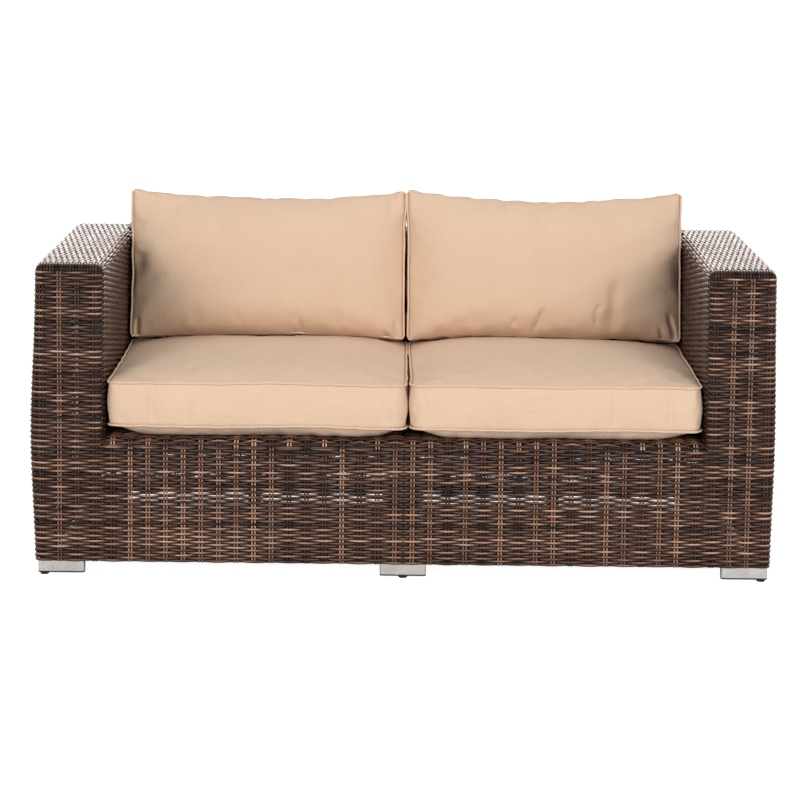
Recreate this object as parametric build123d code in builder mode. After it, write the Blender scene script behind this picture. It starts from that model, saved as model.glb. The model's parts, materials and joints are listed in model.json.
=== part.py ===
from build123d import *
from collections import namedtuple
from math import atan, cos, radians, sin, sqrt
import os

os.makedirs("parts", exist_ok=True)

# Woven patio loveseat in millimetres. X runs to the sitter's left and right, -Y is the front,
# +Z is up, and the origin is on the floor under the middle of the sofa.

# Driving sizes of the whole sofa
overall_width = 1560.0
overall_depth = 780.0
arm_height = 669.0  # floor to the top of the arms and the back
arm_width = 150.0
back_thickness = 122.0  # at the top of the back
back_slope_run = 30.0  # the back's inner face comes this far forward at the deck
deck_height = 298.0  # floor to the woven seat deck

# Wicker skin and the rounding of its edges
skin = 10.0
edge_radius = 20.0
bottom_radius = 7.0  # where the weave turns under the base
panel_rim = 22.0  # how far the top and front panels wrap past an edge

# Welded square tube
tube = 25.0
tube_wall = 1.5
slat_count = 7
upright_share = 0.5  # the side uprights stand at this share of half the seat's width

# Feet, from the floor up
pad_height = 6.0
pad_radius = 9.0  # to the middle of a flat
pad_flats = 12  # grips for turning it by hand
pad_edge = 1.5
cap_thickness = 3.0
shell_height = 22.0
shell_wall = 1.5
shell_corner = 5.0
shell_inner_corner = 3.5
plate_thickness = 3.0
foot_leg = 98.0
foot_width = 25.0
foot_inset = 8.0  # behind the wicker's outer faces
stud_radius = 4.0  # to the middle of a flat
stud_flats = 12  # studs and their holes have few sides, because there are six
stud_length = 16.0
stud_clearance = 0.1
insert_across_flats = 13.0
insert_length = 11.0
boss_width = 18.0
cap_hole_clearance = 0.5
cap_corner = 3.5  # cut off where the foot's wall above is round

# Screws that hold each foot to the frame
screw_radius = 2.4
screw_clearance = 0.1
screw_flats = 8  # shanks and their holes have few sides, because there are many
screw_across_flats = 8.0  # of the hexagonal head
screw_head_height = 2.6
screw_grip = 10.0  # length past the foot's top plate
screw_spacing = 40.0
screw_from_corner = 38.0

# Cushions
piping_radius = 3.0
piping_slant = 60.0  # degrees: the bead has six flats
seat_gap = 1.0  # beside and between the seat cushions
seat_front_setback = 1.0
seat_rear_gap = 8.0
seat_boxing = 92.0
seat_crown = 30.0
seat_underside = 27.0
seat_rest_cut = 3.0  # flat that the deck presses into the underside
seat_corner = 28.0
seat_side_draw = 5.0
seat_front_draw = 3.0
back_gap = 1.5
back_boxing = 88.0
back_crown = 44.0
back_rear_crown = 15.0
back_rest_cut = 3.0
back_height = 335.0
back_corner = 16.0
back_side_draw = 15.0
back_top_draw = 22.0
back_lean = 8.0  # degrees from upright
settling_steps = 8
rest_gap = 0.3
cover_thickness = 12.0  # the fabric with the soft wadding quilted to its back
foam_gap = 0.3
least_corner = 3.0

# Zip of a cushion cover
tape_width = 28.0
tape_thickness = 0.6
chain_width = 5.0
chain_height = 1.2
zip_length_share = 0.8  # of the cushion's width
slider_width = 10.0
slider_length = 14.0
slider_height = 3.3
slider_corner = 2.5
slider_gap = 0.15
pull_overlap = 7.0  # the pull's root on the slider
pull_width = 5.0
pull_length = 22.0
pull_thickness = 0.9
pull_corner = 1.5
pull_hole = 2.4

# A cushion's crown rises from its seam in flat steps, each smaller than the last by these shares
crown_step_shares = (1.0, 0.95, 0.88, 0.76, 0.6, 0.35)
crown_power = 3.5
side_steps = 6  # straight steps along each drawn-in side of a seam
corner_steps = 3
overrun = 5.0  # how far a cutting tool runs past what it cuts

# Places worked out from the sizes above
half_width = overall_width / 2
half_depth = overall_depth / 2
ground_gap = pad_height + cap_thickness + shell_height
well_half = half_width - arm_width
back_top_y = half_depth - back_thickness
deck_back_y = back_top_y - back_slope_run
slope = back_slope_run / (arm_height - deck_height)
skin_along_y = skin * sqrt(1 + slope**2)

outer_x = half_width - skin - tube / 2
inner_x = well_half + skin + tube / 2
front_y = -half_depth + skin + tube / 2
rear_y = half_depth - skin - tube / 2
base_z = ground_gap + tube / 2
top_z = arm_height - skin - tube / 2
seat_z = deck_height - skin - tube / 2
posts_bottom = ground_gap + tube
posts_height = top_z - tube / 2 - posts_bottom
seat_tube_top = seat_z + tube / 2
back_top_tube_y = back_top_y - slope * skin + skin_along_y + tube / 2
seat_rear_y = deck_back_y - slope * skin + skin_along_y + tube / 2
upright_xs = (-well_half * upright_share, 0, well_half * upright_share)
foot_reach_x = half_width - foot_inset
foot_reach_y = half_depth - foot_inset


def export(piece, name):
    piece.label = name
    export_step(piece, f"parts/{name}.step")


def inner_face_y(z):
    # The back's sloping inner face, at a height above the floor
    return back_top_y - slope * (arm_height - z)


# The wicker skin as one block, from which each woven panel is cut
with BuildPart() as wicker_block:
    with BuildSketch(Plane.XY.offset(ground_gap)):
        Rectangle(overall_width, overall_depth)
    extrude(amount=arm_height - ground_gap)
    with BuildSketch(Plane.YZ):
        with BuildLine():
            Polyline(
                (-half_depth - overrun, deck_height),
                (deck_back_y, deck_height),
                (inner_face_y(arm_height + overrun), arm_height + overrun),
                (-half_depth - overrun, arm_height + overrun),
                close=True,
            )
        make_face()
    extrude(amount=well_half, both=True, mode=Mode.SUBTRACT)
    top_edges = wicker_block.faces().filter_by(Axis.Z).group_by(Axis.Z)[-1].edges()
    front_edges = wicker_block.faces().filter_by(Axis.Y).group_by(Axis.Y)[0].edges()
    rear_edges = wicker_block.faces().filter_by(Axis.Y).group_by(Axis.Y)[-1].edges()
    outline_edges = front_edges.filter_by_position(
        Axis.Z, ground_gap + overrun, arm_height - overrun
    )
    corner_edges = rear_edges.filter_by(Axis.Z)
    rounded = ShapeList(dict.fromkeys(top_edges + outline_edges + corner_edges))
    fillet(rounded, radius=edge_radius)
    bottom_edges = wicker_block.faces().filter_by(Axis.Z).group_by(Axis.Z)[0].edges()
    fillet(bottom_edges, radius=bottom_radius)

# The space inside the skin, where the tubes stand
with BuildPart() as frame_space:
    with BuildSketch(Plane.XY.offset(ground_gap - overrun)):
        Rectangle(overall_width - 2 * skin, overall_depth - 2 * skin)
    extrude(amount=arm_height - skin - ground_gap + overrun)
    with BuildSketch(Plane.YZ):
        with BuildLine():
            Polyline(
                (-half_depth - overrun, seat_tube_top),
                (inner_face_y(seat_tube_top) + skin_along_y, seat_tube_top),
                (inner_face_y(arm_height) + skin_along_y, arm_height),
                (-half_depth - overrun, arm_height),
                close=True,
            )
        make_face()
    extrude(amount=well_half + skin, both=True, mode=Mode.SUBTRACT)


def wicker_panel(name, x_span, y_span, z_span):
    # One woven panel: the skin inside a box given by its spans
    size = [high - low for low, high in (x_span, y_span, z_span)]
    middle = tuple((high + low) / 2 for low, high in (x_span, y_span, z_span))
    with BuildPart() as panel:
        add(wicker_block.part)
        add(frame_space.part, mode=Mode.SUBTRACT)
        with Locations(middle):
            Box(*size, mode=Mode.INTERSECT)
    export(panel.part, name)


arm_outside = half_width + overrun
rim_y = half_depth - panel_rim
rim_z = arm_height - panel_rim
above = arm_height + overrun
behind = half_depth + overrun

for side, sign in (("left", -1), ("right", 1)):
    arm_span = sorted((sign * well_half, sign * arm_outside))
    wicker_panel(f"wicker_{side}_arm_top", arm_span, (-behind, behind), (rim_z, above))
    wicker_panel(f"wicker_{side}_arm_front", arm_span, (-behind, -rim_y), (0, rim_z))
    wicker_panel(
        f"wicker_{side}_arm_outer",
        sorted((sign * (half_width - panel_rim), sign * arm_outside)),
        (-rim_y, rim_y),
        (0, rim_z),
    )
    wicker_panel(
        f"wicker_{side}_arm_inner",
        sorted((sign * well_half, sign * (well_half + panel_rim))),
        (-rim_y, back_top_y + panel_rim),
        (seat_z, rim_z),
    )
wicker_panel("wicker_back_outer", (-arm_outside, arm_outside), (rim_y, behind), (0, rim_z))
wicker_panel("wicker_back_top", (-well_half, well_half), (0, behind), (rim_z, above))
wicker_panel("wicker_back_inner", (-well_half, well_half), (deck_back_y, rim_y), (seat_z, rim_z))
wicker_panel("wicker_front_skirt", (-well_half, well_half), (-behind, -rim_y), (0, deck_height))
wicker_panel("wicker_seat_deck", (-well_half, well_half), (-rim_y, deck_back_y), (seat_z, deck_height))


def tube_section():
    # Square tube, drawn at the active locations
    Rectangle(tube, tube)
    Rectangle(tube - 2 * tube_wall, tube - 2 * tube_wall, mode=Mode.SUBTRACT)


screw_xs = [-screw_spacing / 2, screw_spacing / 2]
for step in (0, screw_spacing):
    screw_x = foot_reach_x - screw_from_corner - step
    screw_xs += [-screw_x, screw_x]
screw_places = [(x, y) for x in screw_xs for y in (front_y, rear_y)]


def screw_shank(clearance=0):
    # At every screw's place
    with Locations(*screw_places):
        RegularPolygon(screw_radius + clearance, screw_flats)


# Base ring: the two long tubes carry the feet, and their screw holes
with BuildPart() as base_long_tubes:
    with BuildSketch(Plane.YZ.offset(-half_width + skin)):
        with Locations((front_y, base_z), (rear_y, base_z)):
            tube_section()
    extrude(amount=overall_width - 2 * skin)
    with BuildSketch(Plane.XY.offset(ground_gap)):
        screw_shank(screw_clearance)
    extrude(amount=tube_wall, mode=Mode.SUBTRACT)
export(base_long_tubes.part, "base_long_tubes")

tube_run = overall_depth - 2 * skin - 2 * tube
with BuildPart() as base_cross_tubes:
    with BuildSketch(Plane.XZ.offset(-tube_run / 2)):
        with Locations(*[(x, base_z) for x in (-outer_x, -inner_x, 0, inner_x, outer_x)]):
            tube_section()
    extrude(amount=tube_run)
export(base_cross_tubes.part, "base_cross_tubes")

# Posts between the base ring and the top ring
post_places = [(x, y) for x in (-outer_x, outer_x) for y in (front_y, 0, rear_y)]
post_places += [(x, y) for x in (-inner_x, inner_x) for y in (front_y, rear_y)]
with BuildPart() as arm_posts:
    with BuildSketch(Plane.XY.offset(posts_bottom)):
        with Locations(*post_places):
            tube_section()
    extrude(amount=posts_height)
    with BuildSketch(Plane.XY.offset(seat_tube_top)):
        with Locations((-inner_x, 0), (inner_x, 0)):
            tube_section()
    extrude(amount=posts_bottom + posts_height - seat_tube_top)
export(arm_posts.part, "arm_posts")

# Top ring: two long tubes and two short ties in each arm, and two tubes in the back
with BuildPart() as arm_top_tubes:
    with BuildSketch(Plane.XZ.offset(-half_depth + skin)):
        with Locations(*[(x, top_z) for x in (-outer_x, -inner_x, inner_x, outer_x)]):
            tube_section()
    extrude(amount=overall_depth - 2 * skin)
    for side in (-1, 1):
        tie_start = min(side * (inner_x + tube / 2), side * (outer_x - tube / 2))
        with BuildSketch(Plane.YZ.offset(tie_start)):
            with Locations((front_y, top_z), (rear_y, top_z)):
                tube_section()
        extrude(amount=outer_x - inner_x - tube)
export(arm_top_tubes.part, "arm_top_tubes")

inner_run = 2 * inner_x - tube
with BuildPart() as back_top_tubes:
    with BuildSketch(Plane.YZ.offset(-inner_run / 2)):
        with Locations((back_top_tube_y, top_z), (rear_y, top_z)):
            tube_section()
    extrude(amount=inner_run)
export(back_top_tubes.part, "back_top_tubes")

# Posts at the rear, and leaning ones behind the back's inner face, cut level at both ends
lean_rise = top_z - tube / 2 - seat_tube_top
with BuildPart() as back_posts:
    with BuildSketch(Plane.XY.offset(posts_bottom)):
        with Locations(*[(x, rear_y) for x in upright_xs]):
            tube_section()
    extrude(amount=posts_height)
    with BuildSketch(Plane.XY.offset(seat_tube_top)):
        with Locations(*[(x, seat_rear_y) for x in upright_xs]):
            tube_section()
    extrude(amount=lean_rise * sqrt(1 + slope**2), dir=(0, slope, 1))
export(back_posts.part, "back_posts")

# Seat ring and the slats under the deck
with BuildPart() as seat_long_tubes:
    with BuildSketch(Plane.YZ.offset(-inner_run / 2)):
        with Locations((front_y, seat_z), (seat_rear_y, seat_z)):
            tube_section()
    extrude(amount=inner_run)
export(seat_long_tubes.part, "seat_long_tubes")

with BuildPart() as seat_side_tubes:
    with BuildSketch(Plane.XZ.offset(-tube_run / 2)):
        with Locations((-inner_x, seat_z), (inner_x, seat_z)):
            tube_section()
    extrude(amount=tube_run)
export(seat_side_tubes.part, "seat_side_tubes")

slat_run = seat_rear_y - front_y - tube
slat_pitch = inner_run / (slat_count + 1)
with BuildPart() as seat_slats:
    with BuildSketch(Plane.XZ.offset(-(seat_rear_y - tube / 2))):
        with Locations((0, seat_z)):
            with GridLocations(slat_pitch, tube, slat_count, 1):
                tube_section()
    extrude(amount=slat_run)
export(seat_slats.part, "seat_slats")

with BuildPart() as skirt_uprights:
    with BuildSketch(Plane.XY.offset(posts_bottom)):
        with Locations(*[(x, front_y) for x in upright_xs]):
            tube_section()
    extrude(amount=seat_z - tube / 2 - posts_bottom)
export(skirt_uprights.part, "skirt_uprights")

# Feet: an L at each corner and a straight one under the middle, front and rear
feet = {
    "front_left": (-1, -1),
    "front_right": (1, -1),
    "rear_left": (-1, 1),
    "rear_right": (1, 1),
    "front_middle": (0, -1),
    "rear_middle": (0, 1),
}


def foot_outline(x_sign, y_sign):
    # The foot seen from above
    along_y = y_sign * (foot_reach_y - foot_width / 2)
    if x_sign == 0:
        with Locations((0, along_y)):
            Rectangle(foot_leg, foot_width)
    else:
        with Locations((x_sign * (foot_reach_x - foot_leg / 2), along_y)):
            Rectangle(foot_leg, foot_width)
        with Locations(
            (x_sign * (foot_reach_x - foot_width / 2), y_sign * (foot_reach_y - foot_leg / 2))
        ):
            Rectangle(foot_width, foot_leg)


def outside_corners(outline, x_sign, y_sign):
    # The foot's corners, all but the one inside an L
    corners = outline.vertices()
    if x_sign != 0:
        inside_x = x_sign * (foot_reach_x - foot_width)
        inside_y = y_sign * (foot_reach_y - foot_width)
        corners = corners.sort_by_distance((inside_x, inside_y, 0))[1:]
    return corners


def foot_inside(x_sign, y_sign):
    # The hollow of the foot seen from above, with its corners cut off
    with BuildSketch() as inside:
        foot_outline(x_sign, y_sign)
        offset(amount=-shell_wall, kind=Kind.INTERSECTION, mode=Mode.REPLACE)
        chamfer(inside.vertices(), length=shell_inner_corner)
    return inside.sketch


def pad_centre(x_sign, y_sign):
    return (
        x_sign * (foot_reach_x - foot_width / 2),
        y_sign * (foot_reach_y - foot_width / 2),
    )


def stud_outline(clearance=0, mode=Mode.ADD):
    RegularPolygon(stud_radius + clearance, stud_flats, major_radius=False, mode=mode)


cap_top = pad_height + cap_thickness
plate_bottom = ground_gap - plate_thickness
for place, (x_sign, y_sign) in feet.items():
    with BuildPart() as foot_shell:
        with BuildSketch(Plane.XY.offset(cap_top)) as outline:
            foot_outline(x_sign, y_sign)
            fillet(outside_corners(outline, x_sign, y_sign), radius=shell_corner)
            add(foot_inside(x_sign, y_sign), mode=Mode.SUBTRACT)
        extrude(amount=shell_height)
    export(foot_shell.part, f"foot_{place}")

    with BuildPart() as leveller:
        with BuildSketch():
            with Locations(pad_centre(x_sign, y_sign)):
                RegularPolygon(pad_radius, pad_flats, major_radius=False)
        extrude(amount=pad_height)
        chamfer(leveller.edges().group_by(Axis.Z)[0], length=pad_edge)
        with BuildSketch(Plane.XY.offset(pad_height)):
            with Locations(pad_centre(x_sign, y_sign)):
                stud_outline()
        extrude(amount=stud_length)
    export(leveller.part, f"leveller_{place}")


def insert_outline(mode=Mode.ADD):
    RegularPolygon(insert_across_flats / 2, 6, major_radius=False, mode=mode)


# Black end caps under the feet, each with a boss that holds the leveller's insert
pad_centres = [pad_centre(*signs) for signs in feet.values()]
with BuildPart() as foot_caps:
    for x_sign, y_sign in feet.values():
        with BuildSketch(Plane.XY.offset(pad_height)) as outline:
            foot_outline(x_sign, y_sign)
            chamfer(outside_corners(outline, x_sign, y_sign), length=cap_corner)
        extrude(amount=cap_thickness)
    with BuildSketch(Plane.XY.offset(cap_top)):
        with Locations(*pad_centres):
            Rectangle(boss_width, boss_width)
            insert_outline(mode=Mode.SUBTRACT)
    extrude(amount=insert_length)
    with BuildSketch(Plane.XY.offset(pad_height)):
        with Locations(*pad_centres):
            stud_outline(cap_hole_clearance)
    extrude(amount=cap_thickness, mode=Mode.SUBTRACT)
export(foot_caps.part, "foot_caps")

with BuildPart() as leveller_inserts:
    with BuildSketch(Plane.XY.offset(cap_top)):
        with Locations(*pad_centres):
            insert_outline()
            stud_outline(stud_clearance, mode=Mode.SUBTRACT)
    extrude(amount=insert_length)
export(leveller_inserts.part, "leveller_inserts")

# Steel plates in the tops of the feet, and the screws that go up through them
with BuildPart() as foot_plates:
    for x_sign, y_sign in feet.values():
        with BuildSketch(Plane.XY.offset(plate_bottom)):
            add(foot_inside(x_sign, y_sign))
        extrude(amount=plate_thickness)
    with BuildSketch(Plane.XY.offset(plate_bottom)):
        screw_shank(screw_clearance)
    extrude(amount=plate_thickness, mode=Mode.SUBTRACT)
export(foot_plates.part, "foot_plates")

with BuildPart() as foot_screws:
    with BuildSketch(Plane.XY.offset(plate_bottom - screw_head_height)):
        with Locations(*screw_places):
            RegularPolygon(screw_across_flats / 2, 6, major_radius=False)
    extrude(amount=screw_head_height)
    with BuildSketch(Plane.XY.offset(plate_bottom)):
        screw_shank()
    extrude(amount=plate_thickness + screw_grip)
export(foot_screws.part, "foot_screws")

# Cushions. A cushion's home plane has X along its width, Y towards the side with the zip,
# and Z out of the panel that shows, with its origin in the middle of the boxing.
Cushion = namedtuple(
    "Cushion", "width depth boxing crown underside rest_cut corner side_draw far_draw"
)


def crown_rise(step):
    # The height of one step of a crown, as a share of the whole
    return (1 - step**crown_power) / (1 - crown_step_shares[-1] ** crown_power)


def crown_at(share):
    # The crown's height at a share of the way from the middle to the seam, from 0 to 1
    for outer, inner in zip(crown_step_shares, crown_step_shares[1:]):
        if abs(share) >= inner:
            climbed = (outer - abs(share)) / (outer - inner)
            return crown_rise(outer) + climbed * (crown_rise(inner) - crown_rise(outer))
    return 1


def cushion_outline(c, margin=0):
    # The seam seen square to the panel: sides drawn in, the zip's side straight
    x, y = c.width / 2 - margin, c.depth / 2 - margin
    ThreePointArc((-x, y), (-x + c.side_draw, 0), (-x, -y))
    ThreePointArc((-x, -y), (0, -y + c.far_draw), (x, -y))
    ThreePointArc((x, -y), (x - c.side_draw, 0), (x, y))
    Line((x, y), (-x, y))


def plane_at(home, x=0, y=0, z=0):
    # The home plane moved to a point given in its own directions
    return Plane(home.from_local_coords(Vector(x, y, z)), home.x_dir, home.z_dir)


def zip_place(home, c):
    # On the zip's side, with X along the zip, Y across it and Z outwards
    middle = home.from_local_coords(Vector(0, c.depth / 2, 0))
    return Plane(middle, home.x_dir, home.y_dir)


def seam_points(c, margin=0):
    # Points round the seam: few straight steps follow its drawn-in sides and round corners
    with BuildSketch(mode=Mode.PRIVATE) as seam:
        with BuildLine():
            cushion_outline(c, margin)
        make_face()
        fillet(seam.vertices(), radius=max(c.corner - margin, least_corner))
    points = []
    for edge in seam.faces()[0].outer_wire().order_edges():
        steps = 1
        if edge.geom_type == GeomType.CIRCLE:
            steps = side_steps if edge.radius > c.depth / 2 else corner_steps
        points += [edge @ (step / steps) for step in range(steps)]
    return [(point.X, point.Y) for point in points]


def seam_sketch(plane, c, margin=0):
    # The face inside the seam, drawn in at its sides and round at its corners
    with BuildSketch(plane, mode=Mode.PRIVATE) as seam:
        with BuildLine():
            Polyline(*seam_points(c, margin), close=True)
        make_face()
    return seam.sketch


def cushion_form(home, c):
    # The boxing, with a crown on both its sides: flat faces between the steps' outlines
    half = c.boxing / 2
    below = [(-half - c.underside * crown_rise(s), s) for s in crown_step_shares]
    over = [(half + c.crown * crown_rise(s), s) for s in crown_step_shares]
    outline = seam_points(c)
    rings = []
    for level, share in below[::-1] + over:
        spots = [Vector(x * share, y * share, level) for x, y in outline]
        rings.append([home.from_local_coords(spot) for spot in spots])
    faces = [Face(Wire.make_polygon(rings[0])), Face(Wire.make_polygon(rings[-1]))]
    for low, high in zip(rings, rings[1:]):
        for k in range(len(outline)):
            faces.append(Face(Wire.make_polygon([low[k - 1], low[k], high[k], high[k - 1]])))
    return Solid(Shell(faces))


def foam_block(home, c, margin):
    # A plain block as high as the boxing, all round smaller than the cover by the margin
    with BuildPart() as block:
        extrude(seam_sketch(home, c, margin), amount=c.boxing / 2 - margin, both=True)
    return block.part


def build_cover(home, c):
    with BuildPart() as cover:
        add(cushion_form(home, c))
        split(
            bisect_by=plane_at(home, z=c.rest_cut - c.boxing / 2 - c.underside),
            keep=Keep.TOP,
        )
        add(foam_block(home, c, cover_thickness), mode=Mode.SUBTRACT)
    return cover.part


def build_foam(home, c):
    return foam_block(home, c, cover_thickness + foam_gap)


def bead_ring(home, c, level, at_middle, at_flats, mode=Mode.ADD):
    # The seam's outline, wider or narrower half-way up the bead than at its level flats
    flat_rise = piping_radius * sin(radians(piping_slant))
    sections = []
    for rise, reach in ((-flat_rise, at_flats), (0, at_middle), (flat_rise, at_flats)):
        seam = seam_sketch(plane_at(home, z=level + rise), c)
        sections.append(offset(seam, reach, kind=Kind.INTERSECTION, mode=Mode.PRIVATE))
    loft(sections, ruled=True, mode=mode)


def build_piping(home, c):
    # A bead with six flats along each seam, lying against the edge of the boxing
    slant_reach = piping_radius * cos(radians(piping_slant))
    with BuildPart() as piping:
        for level in (-c.boxing / 2, c.boxing / 2):
            bead_ring(home, c, level, 2 * piping_radius, piping_radius + slant_reach)
            bead_ring(home, c, level, 0, piping_radius - slant_reach, mode=Mode.SUBTRACT)
    return piping.part


def build_zip(home, c):
    length = c.width * zip_length_share
    side = zip_place(home, c)
    with BuildPart() as zipper:
        with BuildSketch(side):
            Rectangle(length, tape_width)
        extrude(amount=tape_thickness)
        with BuildSketch(side.offset(tape_thickness)):
            Rectangle(length, chain_width)
        extrude(amount=chain_height)
    return zipper.part


def build_slider(home, c):
    # Closed zip: the slider waits at one end, over the chain, with its pull lying along it
    side = zip_place(home, c).offset(tape_thickness + slider_gap)
    start = -c.width * zip_length_share / 2 + slider_length / 2
    slot_width = chain_width + 2 * slider_gap
    pull_end = start + slider_length / 2 + pull_length
    pull_whole = pull_length + pull_overlap
    with BuildPart() as slider:
        with BuildSketch(side) as body:
            with Locations((start, 0)):
                Rectangle(slider_length, slider_width)
            chamfer(body.vertices(), length=slider_corner)
        extrude(amount=slider_height)
        with BuildSketch(side):
            with Locations((start, 0)):
                Rectangle(slider_length + overrun, slot_width)
        extrude(amount=chain_height, mode=Mode.SUBTRACT)
        with BuildSketch(side.offset(slider_height - pull_thickness)) as pull:
            with Locations((pull_end - pull_whole / 2, 0)):
                Rectangle(pull_whole, pull_width)
            chamfer(pull.vertices(), length=pull_corner)
            with Locations((pull_end - pull_width / 2, 0)):
                Rectangle(pull_hole, pull_hole, mode=Mode.SUBTRACT)
        extrude(amount=pull_thickness)
    return slider.part


bead = 2 * piping_radius  # the piping's reach past the boxing
seat_front = -half_depth + seat_front_setback + bead
seat_rear = deck_back_y - seat_rear_gap - bead
seat = Cushion(
    (2 * well_half - 3 * seat_gap) / 2 - 2 * bead,
    seat_rear - seat_front,
    seat_boxing,
    seat_crown,
    seat_underside,
    seat_rest_cut,
    seat_corner,
    seat_side_draw,
    seat_front_draw,
)
seat_middle_y = (seat_front + seat_rear) / 2
seat_middle_z = deck_height + rest_gap + seat_underside - seat_rest_cut + seat_boxing / 2

back = Cushion(
    (2 * well_half - 3 * back_gap) / 2 - 2 * bead,
    back_height,
    back_boxing,
    back_crown,
    back_rear_crown,
    back_rest_cut,
    back_corner,
    back_side_draw,
    back_top_draw,
)
lean = radians(back_lean)
down = Vector(0, -sin(lean), -cos(lean))
forward = Vector(0, -cos(lean), sin(lean))

# The back cushion's flat rear leans on the rounded top edge of the back
top_edge_height = arm_height - edge_radius
top_edge = Vector(
    0, inner_face_y(top_edge_height) + edge_radius / cos(atan(slope)), top_edge_height
)
rear_depth = back_boxing / 2 + back_rear_crown - back_rest_cut
back_middle = top_edge + forward * (edge_radius + rest_gap + rear_depth)


def gap_below_back(middle):
    # The least height between the back cushion's lower seams and the seat's crown
    gaps = []
    for seam in (back_boxing / 2, -back_boxing / 2):
        bead_middle = middle + down * (back_height / 2 + piping_radius) + forward * seam
        share = (bead_middle.Y - seat_middle_y) / (seat.depth / 2)
        crown_z = seat_middle_z + seat_boxing / 2 + seat_crown * crown_at(share)
        gaps.append(bead_middle.Z - piping_radius - crown_z)
    return min(gaps)


# It slides down along its lean until a lower seam stands on the seat cushion
for step in range(settling_steps):
    back_middle += down * ((gap_below_back(back_middle) - rest_gap) / cos(lean))

for side, sign in (("left", -1), ("right", 1)):
    seat_home = Plane(
        (sign * (seat.width + 2 * bead + seat_gap) / 2, seat_middle_y, seat_middle_z),
        x_dir=(1, 0, 0),
        z_dir=(0, 0, 1),
    )
    back_home = Plane(
        (sign * (back.width + 2 * bead + back_gap) / 2, back_middle.Y, back_middle.Z),
        x_dir=(-1, 0, 0),
        z_dir=tuple(forward),
    )
    for kind, home, sizes in (("seat", seat_home, seat), ("back", back_home, back)):
        name = f"{kind}_cushion_{side}"
        export(build_cover(home, sizes), f"{name}_cover")
        export(build_foam(home, sizes), f"{name}_foam")
        export(build_piping(home, sizes), f"{name}_piping")
        export(build_zip(home, sizes), f"{name}_zip")
        export(build_slider(home, sizes), f"{name}_zip_slider")
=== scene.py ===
import bpy
import json
import numpy as np
from math import cos, pi, radians, sin, tan
from mathutils import Matrix, Vector


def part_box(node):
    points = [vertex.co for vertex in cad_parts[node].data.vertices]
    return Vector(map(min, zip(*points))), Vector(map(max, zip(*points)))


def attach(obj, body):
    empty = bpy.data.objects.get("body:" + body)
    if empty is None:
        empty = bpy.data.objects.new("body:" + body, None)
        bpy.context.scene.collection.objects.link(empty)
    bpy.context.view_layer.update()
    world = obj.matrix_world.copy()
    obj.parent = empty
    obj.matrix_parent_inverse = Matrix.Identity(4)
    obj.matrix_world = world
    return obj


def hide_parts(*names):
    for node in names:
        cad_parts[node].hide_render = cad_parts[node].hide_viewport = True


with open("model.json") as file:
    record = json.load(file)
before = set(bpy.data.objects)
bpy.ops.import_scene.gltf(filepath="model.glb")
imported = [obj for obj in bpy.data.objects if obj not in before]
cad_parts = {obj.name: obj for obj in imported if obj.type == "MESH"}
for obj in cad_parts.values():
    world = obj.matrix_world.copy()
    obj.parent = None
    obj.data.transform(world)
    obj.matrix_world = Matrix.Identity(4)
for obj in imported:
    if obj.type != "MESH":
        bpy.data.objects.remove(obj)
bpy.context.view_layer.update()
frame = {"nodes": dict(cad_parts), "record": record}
bpy.ops.object.select_all(action="DESELECT")
sides = {"left": -1, "right": 1}

# Camera at the photographed angle
view = {
    "place": (-0.0131, -6.286, 1.416),
    "tiltDown": 7.0,
    "roll": 0.62,
    "lens": 128.2,
    "shiftY": -0.1816,
    "sensor": 36,
}


def makeCamera():
    bpy.ops.object.camera_add(location=view["place"])
    camera = bpy.context.object
    turn = Matrix.Rotation(radians(90 - view["tiltDown"]), 4, "X")
    roll = Matrix.Rotation(radians(view["roll"]), 4, "Z")
    camera.rotation_euler = (turn @ roll).to_euler()
    camera.data.lens = view["lens"]
    camera.data.sensor_width = view["sensor"]
    camera.data.shift_y = view["shiftY"]
    bpy.context.scene.camera = camera


makeCamera()


# Shader helpers
def feed(tree, source, socket):
    if isinstance(source, (int, float)):
        socket.default_value = source
    else:
        tree.links.new(source, socket)


def mathNode(tree, operation, first, second=None, third=None, clamp=False):
    node = tree.nodes.new("ShaderNodeMath")
    node.operation = operation
    node.use_clamp = clamp
    for socket, value in zip(node.inputs, (first, second, third)):
        if value is not None:
            feed(tree, value, socket)
    return node.outputs[0]


def newMaterial(name, roughness, colour=(0.5, 0.5, 0.5)):
    material = bpy.data.materials.new(name)
    material.use_nodes = True
    shader = material.node_tree.nodes["Principled BSDF"]
    shader.inputs["Roughness"].default_value = roughness
    shader.inputs["Base Color"].default_value = (*colour, 1)
    return material, material.node_tree, shader


# Soft studio light
lamps = {
    "frontLeft": {"place": (-2.9, -4.9, 2.3), "width": 2.0, "height": 2.0, "power": 128},
    "frontRight": {"place": (2.9, -4.9, 2.3), "width": 2.0, "height": 2.0, "power": 138},
    "above": {"place": (0.0, 0.6, 3.4), "width": 2.6, "height": 2.6, "power": 26},
}
studio = {
    "floorSize": 240,
    "floorColour": 0.85,
    "floorRoughness": 0.9,
    "floorLift": 0.95,  # glow that makes the open floor white
    "darkHalfX": 0.745,  # under the sofa the floor has no such glow: partly painted shade there, on top of the real shadow
    "darkFront": -0.20,
    "darkRear": 0.35,
    "darkFade": 0.06,
    "worldGlow": 0.33,
    "whiteSeen": 1.0,
    "frontMirrored": 0.10,  # what gloss reflects in front of the sofa and behind it
    "rearMirrored": 4.2,
    "aim": (0.0, 0.0, 0.35),
}


def makeLamps():
    for name, lamp in lamps.items():
        bpy.ops.object.light_add(type="AREA", location=lamp["place"])
        light = bpy.context.object
        light.name = name
        light.data.shape = "RECTANGLE"
        light.data.size = lamp["width"]
        light.data.size_y = lamp["height"]
        light.visible_camera = False
        light.data.energy = lamp["power"]
        away = Vector(studio["aim"]) - light.location
        light.rotation_euler = away.to_track_quat("-Z", "Y").to_euler()


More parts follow.
